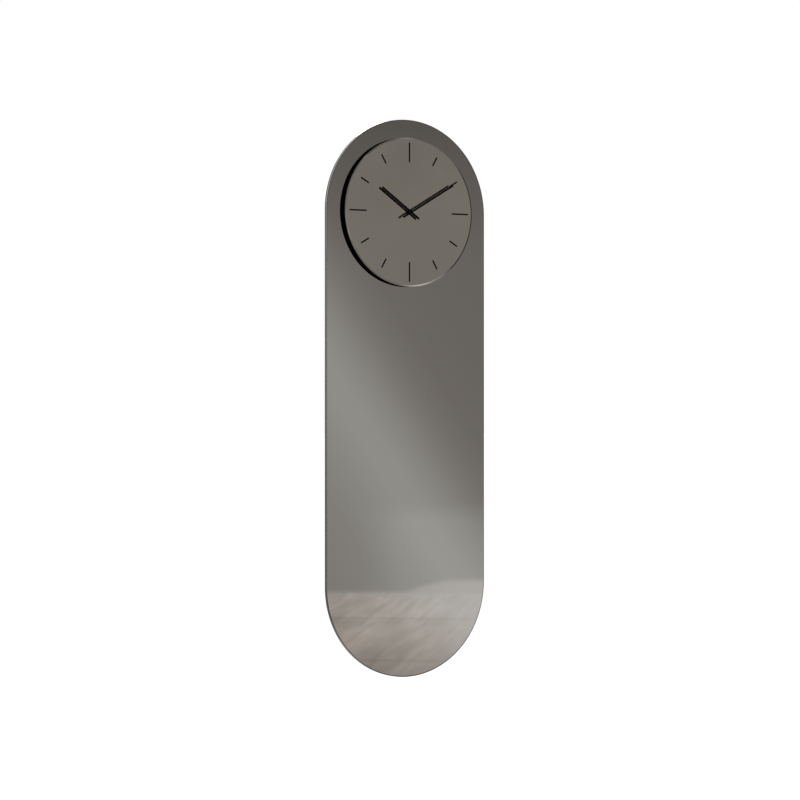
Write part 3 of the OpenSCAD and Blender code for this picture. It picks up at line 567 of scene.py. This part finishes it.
def sintered_magnet():
    """Dark sintered metal with its grains."""
    made = Surface("sintered_magnet", (0.12, 0.12, 0.125), 0.55, 0.6)
    grains = made.noise(0.3 * MM, 4.0, 0.7)
    made.set("Base Color", made.mix(grains, (0.08, 0.08, 0.085), (0.17, 0.17, 0.175)))
    made.bump(grains, 0.03 * MM)
    return made.material


def battery_sleeve():
    """A plain printed sleeve: slate grey, with a paler band at the positive end."""
    made = Surface("battery_sleeve", (0.06, 0.07, 0.085), 0.32)
    x = made.split()[0]
    band = made.spread(x, 0.0, 1.0, SLEEVE_BAND_X - 0.1 * MM, SLEEVE_BAND_X + 0.1 * MM)
    rub = made.noise(2.2 * MM, 4.0, 0.6, (0.2, 1, 1))
    slate = made.mix(rub, (0.045, 0.052, 0.064), (0.075, 0.086, 0.105))
    pale = made.mix(rub, (0.5, 0.36, 0.16), (0.6, 0.44, 0.21))
    made.set("Base Color", made.mix(band, slate, pale))
    made.set("Roughness", made.spread(rub, 0.24, 0.42))
    return made.material


def piece(name, body, mesh_data, materials, replaced):
    """A piece with its own mesh, in the frame's own place, standing for some CAD nodes."""
    made = bpy.data.objects.new(name, mesh_data)
    bpy.context.scene.collection.objects.link(made)
    for material in materials:
        mesh_data.materials.append(material)
    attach(made, body)
    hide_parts(*replaced)


def bands_mesh(name, loops, band_materials, sharp_deg=20):
    """A closed skin over loops of points, each joined to the next, with a material for each band."""
    build = bmesh.new()
    rows = [[build.verts.new(p) for p in loop] for loop in loops]
    pairs = zip(rows, rows[1:] + rows[:1])
    for (row, following), material in zip(pairs, band_materials):
        count = len(row)
        for i in range(count):
            j = (i + 1) % count
            face = build.faces.new((row[i], row[j], following[j], following[i]))
            face.material_index = material
            face.smooth = True
    bmesh.ops.recalc_face_normals(build, faces=build.faces)
    made = bpy.data.meshes.new(name)
    build.to_mesh(made)
    build.free()
    made.set_sharp_from_angle(angle=math.radians(sharp_deg))
    return made


def long_oval(inset, y):
    """The panel's outline, drawn in by an inset: two half circles joined by straight sides."""
    radius = PANEL_R - inset
    arc = []
    for i in range(ARC_STEPS):
        turn = math.pi * i / ARC_STEPS
        arc.append((radius * math.cos(turn), radius * math.sin(turn)))

    # places down a side, at even turns seen from the dial's axis, so that the hole is round too
    lowest = math.atan2(PANEL_TOP_Z - PANEL_BOTTOM_Z, radius)
    downs = []
    for i in range(SIDE_STEPS + 1):
        downs.append(PANEL_TOP_Z - radius * math.tan(lowest * i / SIDE_STEPS))

    top = [(a, y, PANEL_TOP_Z + b) for a, b in arc]
    left = [(-radius, y, z) for z in downs[:-1]]
    bottom = [(-a, y, PANEL_BOTTOM_Z - b) for a, b in arc]
    right = [(radius, y, z) for z in reversed(downs[1:])]
    return top + left + bottom + right


def hole_under(outline, radius, y):
    """A round hole about the dial's axis with one point for each point of an outline."""
    points = []
    for x, _, z in outline:
        turn = math.atan2(z, x)
        points.append((radius * math.cos(turn), y, radius * math.sin(turn)))
    return points


def mirror_panel():
    """The panel: silvered front, polished edges and a painted back, round the dial's hole."""
    front, rear = panel_low.y, panel_high.y
    outline = long_oval(0.0, front)
    loops = [
        hole_under(outline, PANEL_HOLE_R, rear),
        long_oval(REAR_ARRIS, rear),
        long_oval(0.0, rear - REAR_ARRIS),
        long_oval(0.0, front + ARRIS),
        long_oval(ARRIS, front),
        long_oval(ARRIS + DARK_RIM_WIDTH, front),
        hole_under(outline, PANEL_HOLE_R, front),
    ]
    # clear is the near-black band of painted shade inside the arris
    silvered, edge, arris, painted, clear = range(5)
    materials = [
        smoked_mirror("mirror_front", (0.43, 0.418, 0.398), 0.02),
        glass_edge(),
        glass_arris(),
        backing_paint(),
        painted_dark_rim(),
    ]
    bands = [painted, edge, edge, arris, clear, silvered, edge]
    skin = bands_mesh("mirror_panel_skin", loops, bands)
    piece("mirror_glass_panel", "frame", skin, materials, ["mirror_panel"])


def turned(profile, axis="y", centre=(0.0, 0.0, 0.0), steps=LATHE_STEPS):
    """Loops for a turned piece: each (radius, place along the axis) becomes a ring of points."""
    loops = []
    for radius, along in profile:
        ring = []
        for i in range(steps):
            turn = FULL_TURN * i / steps
            a, b = radius * math.cos(turn), radius * math.sin(turn)
            if axis == "y":
                ring.append((centre[0] + a, along, centre[2] + b))
            else:
                ring.append((along, centre[1] + a, centre[2] + b))
        loops.append(ring)
    return loops


def dial_glass():
    """The dial: a silvered face and bevel, black at its rim, its hole and its back."""
    front, rear = dial_low.y, dial_high.y
    profile = [
        (DIAL_HOLE_R, rear),
        (DIAL_R - DIAL_REAR_ARRIS, rear),
        (DIAL_R, rear - DIAL_REAR_ARRIS),
        (DIAL_R, front + DIAL_BEVEL_T),
        (DIAL_R - DIAL_BEVEL_W, front),
        (DIAL_HOLE_R, front),
    ]
    face, bevel, black = range(3)
    materials = [
        # the last number gives the face painted shade, darker towards the lower left
        smoked_mirror("dial_front", (0.63, 0.605, 0.55), 0.15, 0.7),
        glass_bevel(),
        drum_black(),
    ]
    bands = [black, black, black, bevel, face, black]
    skin = bands_mesh("dial_glass_skin", turned(profile), bands, 12)
    piece("dial_glass_disc", "frame", skin, materials, ["dial_glass"])


def minute_cap():
    """The cap on the end of the minute pipe, with a low dome."""
    low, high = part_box("minute_cap")
    radius = (high.x - low.x) / 2
    dome = (high.y - low.y) * CAP_DOME
    profile = [(AXIS_R, high.y), (radius, high.y)]
    for i in range(DOME_STEPS + 1):
        lean = math.pi / 2 * i / DOME_STEPS
        out = max(radius * math.cos(lean), AXIS_R)
        profile.append((out, low.y + dome * (1 - math.sin(lean))))
    loops = turned(profile, steps=CAP_STEPS)
    skin = bands_mesh("minute_cap_skin", loops, [0] * len(profile), 30)
    piece("minute_hand_cap", "minute_hand", skin, [satin_black()], ["minute_cap"])


def middle_line(low, high):
    """A place on the axis of a round piece that lies along X."""
    return (0.0, (low.y + high.y) / 2, (low.z + high.z) / 2)


def coil_winding():
    """The coil's outer layer of wire, turn beside turn, closed behind by a smooth inside."""
    low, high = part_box("coil_winding")
    radius = (high.z - low.z) / 2
    turns = round((high.x - low.x) / WIRE_D)
    pitch = (high.x - low.x) / turns
    profile = []
    for i in range(turns):
        for step in range(WIRE_STEPS):
            round_wire = math.pi * (step + 0.5) / WIRE_STEPS
            along = low.x + pitch * (i + 0.5 - 0.5 * math.cos(round_wire))
            profile.append((radius - pitch / 2 * (1 - math.sin(round_wire)), along))
    profile += [(COIL_INNER_R, high.x), (COIL_INNER_R, low.x)]
    loops = turned(profile, "x", middle_line(low, high), SMALL_STEPS)
    skin = bands_mesh("winding_skin", loops, [0] * len(profile), 70)
    piece("wound_coil", "frame", skin, [copper_wire()], ["coil_winding"])


def sleeve_end(radius, end_x, inwards):
    """How the sleeve turns in over one end: from its fold round the edge and on to its side."""
    edge = SLEEVE_EDGE * inwards
    return [
        (radius - SLEEVE_IN, end_x + SLEEVE_FOLD * inwards),
        (radius - SLEEVE_IN, end_x),
        (radius - SLEEVE_EDGE, end_x),
        (radius - 0.15 * SLEEVE_EDGE, end_x + 0.3 * edge),
        (radius, end_x + edge),
    ]


def battery_can():
    """The cell: a sleeve turned in over both ends, with a steel plate inside each."""
    low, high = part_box("battery_can")
    radius = (high.z - low.z) / 2
    plate_r = radius - PLATE_IN
    low_plate = [
        (AXIS_R, low.x + PLATE_DEPTH),
        (plate_r, low.x + PLATE_DEPTH),
        (plate_r + PLATE_SLOPE, low.x + SLEEVE_FOLD),
    ]
    high_plate = [
        (plate_r, high.x - SLEEVE_FOLD),
        (AXIS_R, high.x - SLEEVE_FOLD),
    ]
    sleeve = sleeve_end(radius, low.x, 1) + sleeve_end(radius, high.x, -1)[::-1]
    printed, steel = range(2)
    bands = [steel] * len(low_plate)
    bands += [printed] * (len(sleeve) - 1)
    bands += [steel] * (len(high_plate) + 1)
    profile = low_plate + sleeve + high_plate
    loops = turned(profile, "x", middle_line(low, high), CELL_STEPS)
    skin = bands_mesh("cell_skin", loops, bands, 35)
    materials = [battery_sleeve(), nickel()]
    piece("battery_cell", "battery", skin, materials, ["battery_can"])


def battery_button():
    """The cell's positive button, rounded at its front edge."""
    low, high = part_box("battery_button")
    radius = (high.z - low.z) / 2
    profile = [(AXIS_R, low.x), (radius, low.x)]
    for i in range(BUTTON_EDGE_STEPS + 1):
        lean = math.pi / 2 * i / BUTTON_EDGE_STEPS
        out = radius - BUTTON_EDGE * (1 - math.cos(lean))
        profile.append((out, high.x - BUTTON_EDGE * (1 - math.sin(lean))))
    profile.append((AXIS_R, high.x))
    loops = turned(profile, "x", middle_line(*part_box("battery_can")), SMALL_STEPS)
    skin = bands_mesh("button_skin", loops, [0] * len(profile), 50)
    piece("battery_terminal", "battery", skin, [nickel()], ["battery_button"])


def dress_nodes():
    """Every CAD node that still shows gets its slot's material."""
    looks = {
        "foam_tape": foam_tape(),
        "board": black_board(),
        "hanger_steel": zinc_steel(),
        "black_rubber": black_rubber(),
        "drum_black": drum_black(),
        "hand_black": satin_black(),
        "case_plastic": case_plastic(),
        "brass": turned_brass(),
        "white_plastic": white_acetal(),
        "iron_core": iron_core(),
        "circuit_green": circuit_green(),
        "chip_resin": chip_resin(),
        "nickel": nickel(),
        "magnet": sintered_magnet(),
    }
    for part in frame["record"]["subparts"]:
        look = looks.get(part["material_slot"])
        if look:
            for held in nodes[part["node"]].material_slots:
                held.material = look


def soften(node):
    """Rounds a CAD node's edges a little, so that they catch the light."""
    bevel = nodes[node].modifiers.new("soft_edges", "BEVEL")
    bevel.width = SOFT_EDGE
    bevel.segments = 2
    bevel.limit_method = "ANGLE"
    bevel.angle_limit = math.radians(SOFT_ANGLE_DEG)


def plane(name, corners, material):
    """A flat stage piece."""
    skin = bpy.data.meshes.new(name)
    skin.from_pydata(corners, [], [tuple(range(len(corners)))])
    made = bpy.data.objects.new(name, skin)
    skin.materials.append(material)
    bpy.context.scene.collection.objects.link(made)
    return made


def only_mirrored(made):
    """A stage piece that shows in mirrors, and neither to the camera nor as light or shade."""
    made.visible_camera = False
    made.visible_diffuse = False
    made.visible_shadow = False
    made.visible_transmission = False


def board_tone(made):
    """How light the boards are: each its own tone, with grain, stains, seams and ends."""
    turn_cos, turn_sin = math.cos(BOARDS_TURN), math.sin(BOARDS_TURN)
    across = made.along([a * turn_cos - b * turn_sin for a, b in zip(ASIDE, AHEAD)])
    along = made.along([b * turn_cos + a * turn_sin for a, b in zip(ASIDE, AHEAD)])
    boards = made.math("DIVIDE", across, BOARD_W)
    number = made.math("FLOOR", boards)
    tone = made.add("ShaderNodeTexWhiteNoise", {1: number}, noise_dimensions="1D").outputs[0]
    drawn = made.add("ShaderNodeCombineXYZ", {0: across, 1: made.times(along, BOARD_DRAWN)})
    where = drawn.outputs[0]
    grain_inputs = {"Vector": where, "Scale": GRAIN_SCALE}
    grain = made.add("ShaderNodeTexNoise", grain_inputs).outputs[0]
    stain_inputs = {"Vector": where, "Scale": STAIN_SCALE, "Detail": 3.0}
    stain = made.add("ShaderNodeTexNoise", stain_inputs).outputs[0]
    seam = made.math("LESS_THAN", made.math("FRACT", boards), SEAM_SHARE)
    past_end = made.minus(along, BOARD_END_AHEAD)
    end = made.math("PINGPONG", past_end, BOARD_L / 2)
    return made.times(
        made.spread(tone, 0.95, 1.06),
        made.spread(grain, 0.86, 1.14, 0.32, 0.68),
        made.spread(stain, 0.91, 1.07, 0.35, 0.65),
        made.spread(seam, 1.0, 0.92),
        made.spread(end, *BOARD_END),
        made.spread(past_end, *PAST_BOARD_END),
    )


def washed_floor(made):
    """The colour and the level of the floor in the mirrors, where it glows with painted light: boards
    washed out by painted glare and darkened by painted shade, and white behind.
    """
    ahead = made.along(AHEAD)
    aside = made.along(ASIDE)
    showing = made.times(made.minus(board_tone(made), 1.0), made.spread(aside, *BOARDS_SHOW))
    boards = made.times(
        made.plus(showing, 1.0),
        made.spread(aside, *FLOOR_LEFT),
        made.spread(ahead, *FLOOR_NEAR),
        made.spread(ahead, *FLOOR_NEARER),
        made.spread(aside, *FLOOR_FAR_RIGHT),
        made.spread(aside, *FLOOR_FAR_LEFT),
    )
    slanted = made.plus(aside, made.times(ahead, WASH_SLANT))
    wood = made.mix(made.spread(slanted, *WASH_TURN), BROWN_WASH, PALE_WASH)

    # the dark part is painted shade, and is what the arris at the panel's lower right mirrors
    x, y, _ = made.split()
    behind = made.spread(y, *FLOOR_BEHIND)
    shade = made.times(
        made.spread(x, *SHADE_LEFT),
        made.spread(x, *SHADE_RIGHT),
        made.spread(y, *SHADE_FRONT),
        made.spread(y, *SHADE_REAR),
    )
    white = made.times(behind, made.spread(shade, 1.0, SHADE_LEVEL))
    level = made.plus(made.times(boards, made.minus(1.0, behind)), white)
    return made.mix(behind, wood, WHITE), level


def pale_floor():
    """A pale floor: white to the camera but for the shadow, and in the mirrors washed boards that glow
    with painted light and shade.
    """
    made = Surface("pale_floor", (0.55, 0.55, 0.55), 0.9)
    paths = made.add("ShaderNodeLightPath").outputs
    wood, level = washed_floor(made)
    spot = made.times(made.spot(FLOOR_SPOT, FLOOR_SPOT_R), FLOOR_SPOT_LEVEL)
    washed = made.glow(wood, made.plus(level, spot))
    lit = made.shader.outputs[0]
    white = made.glow((*WHITE, 1.0), FLOOR_GLOW)
    both = made.add("ShaderNodeAddShader", {0: white, 1: lit}).outputs[0]
    plain = made.blend(paths["Is Camera Ray"], lit, both)
    mirrored = made.math("MAXIMUM", paths["Is Glossy Ray"], paths["Is Transmission Ray"])
    made.end_in(made.blend(mirrored, plain, washed))
    half = FLOOR_SIZE / 2
    corners = [(a * half, b * half, FLOOR_Z) for a, b in ((-1, -1), (1, -1), (1, 1), (-1, 1))]
    plane("floor", corners, made.material)


def wall_light(made, x, z):
    """The colour and the level of the far wall: a soft pool of light, low and to the left."""
    lowest, highest = WALL_POOL[0][0], WALL_POOL[-1][0]
    stops = [((place - lowest) / (highest - lowest), level) for place, level in WALL_POOL]
    slanted = made.plus(made.times(x, WALL_SLANT), z)
    pool = made.ramp(made.spread(slanted, 0.0, 1.0, lowest, highest), stops)
    foot = made.times(made.spread(z, *WALL_FOOT), made.spread(x, *WALL_FOOT_REACH))
    level = made.plus(made.times(pool, made.spread(z, *WALL_UPPER)), foot)
    level = made.times(level, made.spread(x, *WALL_FAR_LEFT))
    level = made.plus(level, made.times(made.spot(WALL_SPOT, WALL_SPOT_R), WALL_SPOT_LEVEL))
    return made.mix(made.spread(level, *WALL_TURN), WARM_WALL, COOL_WALL), level


def room_wall():
    """The far wall of the room, which only the mirrors see, with the last of the floor at its foot."""
    made = Surface("room_wall", (0.5, 0.5, 0.5), 0.9)
    x, _, z = made.split()
    tint, level = wall_light(made, x, z)

    # the floor runs on a little higher to the right, and meets the wall softly
    step = made.spread(x, 0.0, STEP_HEIGHT, *STEP_REACH)
    above = made.minus(made.minus(z, FLOOR_Z), step)
    floor_share = made.spread(above, 1.0, 0.0, *STEP_SOFT)
    wall_part = made.times(level, made.minus(1.0, floor_share))
    floor_part = made.times(made.spread(x, *STEP_LEVEL), floor_share)
    tint = made.mix(floor_share, tint, STEP_TINT)

    made.end_in(made.glow(tint, made.plus(wall_part, floor_part)))
    corners = [
        (WALL_LEFT, 0, FLOOR_Z),
        (WALL_RIGHT, 0, FLOOR_Z),
        (WALL_RIGHT, 0, WALL_TOP),
        (WALL_LEFT, 0, WALL_TOP),
    ]
    wall = plane("room_wall", corners, made.material)
    wall.location = [a * WALL_AHEAD for a in AHEAD]
    wall.rotation_euler = (0, 0, LOOK_TURN)
    only_mirrored(wall)


def dark_screen():
    """A dark screen with soft edges to the right of the clock, which only the mirrors see."""
    made = Surface("dark_screen", (0.02, 0.02, 0.02), 0.9)
    _, y, z = made.split()
    solid = made.times(
        made.spread(y, 1.0, 0.0, SCREEN_NEAR - SCREEN_EDGE, SCREEN_NEAR),
        made.spread(y, 0.0, 1.0, SCREEN_FAR, SCREEN_FAR + SCREEN_EDGE),
        made.spread(z, 1.0, 0.0, SCREEN_TOP - SCREEN_EDGE, SCREEN_TOP),
    )
    drape = made.noise(0.4, 3.0, 0.5, (1, 1, 0.1))
    dark = made.glow(SCREEN_TINT, made.spread(drape, 0.03, 0.07))
    clear = made.add("ShaderNodeBsdfTransparent").outputs[0]
    made.end_in(made.blend(solid, clear, dark))
    corners = [
        (SCREEN_X, SCREEN_NEAR, FLOOR_Z),
        (SCREEN_X, SCREEN_FAR, FLOOR_Z),
        (SCREEN_X, SCREEN_FAR, SCREEN_TOP),
        (SCREEN_X, SCREEN_NEAR, SCREEN_TOP),
    ]
    only_mirrored(plane("dark_screen", corners, made.material))


def pale_world():
    """A white surround for the camera and for anything glossy, and an even light for the rest."""
    world = bpy.data.worlds.new("studio")
    bpy.context.scene.world = world
    world.use_nodes = True
    tree = world.node_tree
    background = tree.nodes["Background"]
    paths = tree.nodes.new("ShaderNodeLightPath").outputs
    brightest = paths["Is Camera Ray"]
    for name in ("Is Glossy Ray", "Is Transmission Ray"):
        larger = tree.nodes.new("ShaderNodeMath")
        larger.operation = "MAXIMUM"
        tree.links.new(brightest, larger.inputs[0])
        tree.links.new(paths[name], larger.inputs[1])
        brightest = larger.outputs[0]
    level = tree.nodes.new("ShaderNodeMapRange")
    tree.links.new(brightest, level.inputs[0])
    level.inputs[3].default_value = WORLD_LEVEL
    level.inputs[4].default_value = 1.0
    tree.links.new(level.outputs[0], background.inputs["Strength"])
    background.inputs["Color"].default_value = (*WHITE, 1.0)


def soft_lamp(name, place, size, power):
    """A large square lamp that points at the panel's middle."""
    data = bpy.data.lights.new(name, "AREA")
    data.shape = "SQUARE"
    data.size = size
    data.energy = power
    lamp = bpy.data.objects.new(name, data)
    bpy.context.scene.collection.objects.link(lamp)
    lamp.location = place
    way = [b - a for a, b in zip(place, LAMP_AIM)]
    flat = math.hypot(way[0], way[1])
    lamp.rotation_euler = (math.atan2(flat, -way[2]), 0, math.atan2(-way[0], way[1]))
    lamp.visible_camera = False


def photo_camera():
    """The camera at the photograph's viewing angle and framing."""
    data = bpy.data.cameras.new("camera")
    data.sensor_width = SENSOR_MM
    data.lens = FOCAL_PX * SENSOR_MM / FRAME_PX
    data.shift_x, data.shift_y = CAMERA_SHIFT
    data.clip_start = CAMERA_NEAR
    data.clip_end = CAMERA_FAR
    camera = bpy.data.objects.new("camera", data)
    bpy.context.scene.collection.objects.link(camera)
    camera.location = CAMERA_PLACE
    camera.rotation_euler = (math.pi / 2, 0, math.radians(CAMERA_TURN_DEG))
    bpy.context.scene.camera = camera


photo_camera()
pale_world()
pale_floor()
room_wall()
dark_screen()
for lamp_settings in LAMPS:
    soft_lamp(*lamp_settings)

dress_nodes()
mirror_panel()
dial_glass()
minute_cap()
coil_winding()
battery_can()
battery_button()
for edged in ("hour_hand", "minute_hand", "quarter_markers", "hour_markers"):
    soften(edged)

bpy.context.scene.view_settings.view_transform = "Standard"
